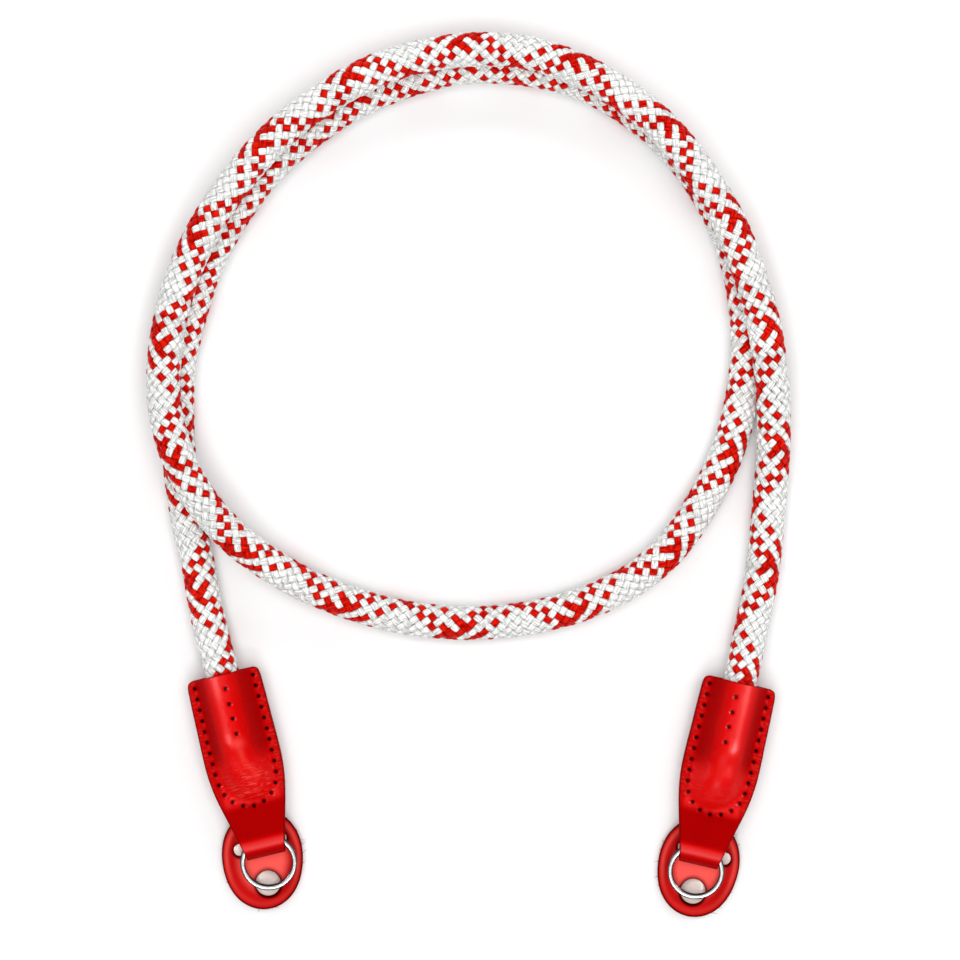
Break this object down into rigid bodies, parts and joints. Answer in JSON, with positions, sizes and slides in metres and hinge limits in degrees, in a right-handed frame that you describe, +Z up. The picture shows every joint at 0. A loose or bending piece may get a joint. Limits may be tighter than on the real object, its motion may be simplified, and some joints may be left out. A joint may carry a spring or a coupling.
{
  "type": "rope camera strap",
  "caption": "Braided rope camera strap lying in a double loop, with stitched red leather end sleeves, split rings and riveted leather ring guards.",
  "frame": {"origin": "on the surface that the strap lies on, midway between its two leather ends", "axes": "+X from the left leather end to the right one, +Y from the rings towards the rope's loop, +Z up"},
  "size_m": [0.1796, 0.2471, 0.0196],
  "materials": {
    "braided_rope": "matte white braid with red tracer strands",
    "sleeve_leather": "smooth red leather with a soft gloss",
    "guard_leather": "smooth red leather with burnished edges",
    "polished_steel": "polished",
    "satin_nickel": "satin"
  },
  "bodies": {
    "root": {"rope": "braided_rope", "sleeve_left": "sleeve_leather", "sleeve_right": "sleeve_leather", "ring_left": "polished_steel", "ring_right": "polished_steel", "guard_left": "guard_leather", "guard_right": "guard_leather", "rivet_large_left": "satin_nickel", "rivet_large_right": "satin_nickel", "rivet_side_left": "satin_nickel", "rivet_side_right": "satin_nickel", "rivet_hidden_left": "satin_nickel", "rivet_hidden_right": "satin_nickel"}
  },
  "joints": []
}
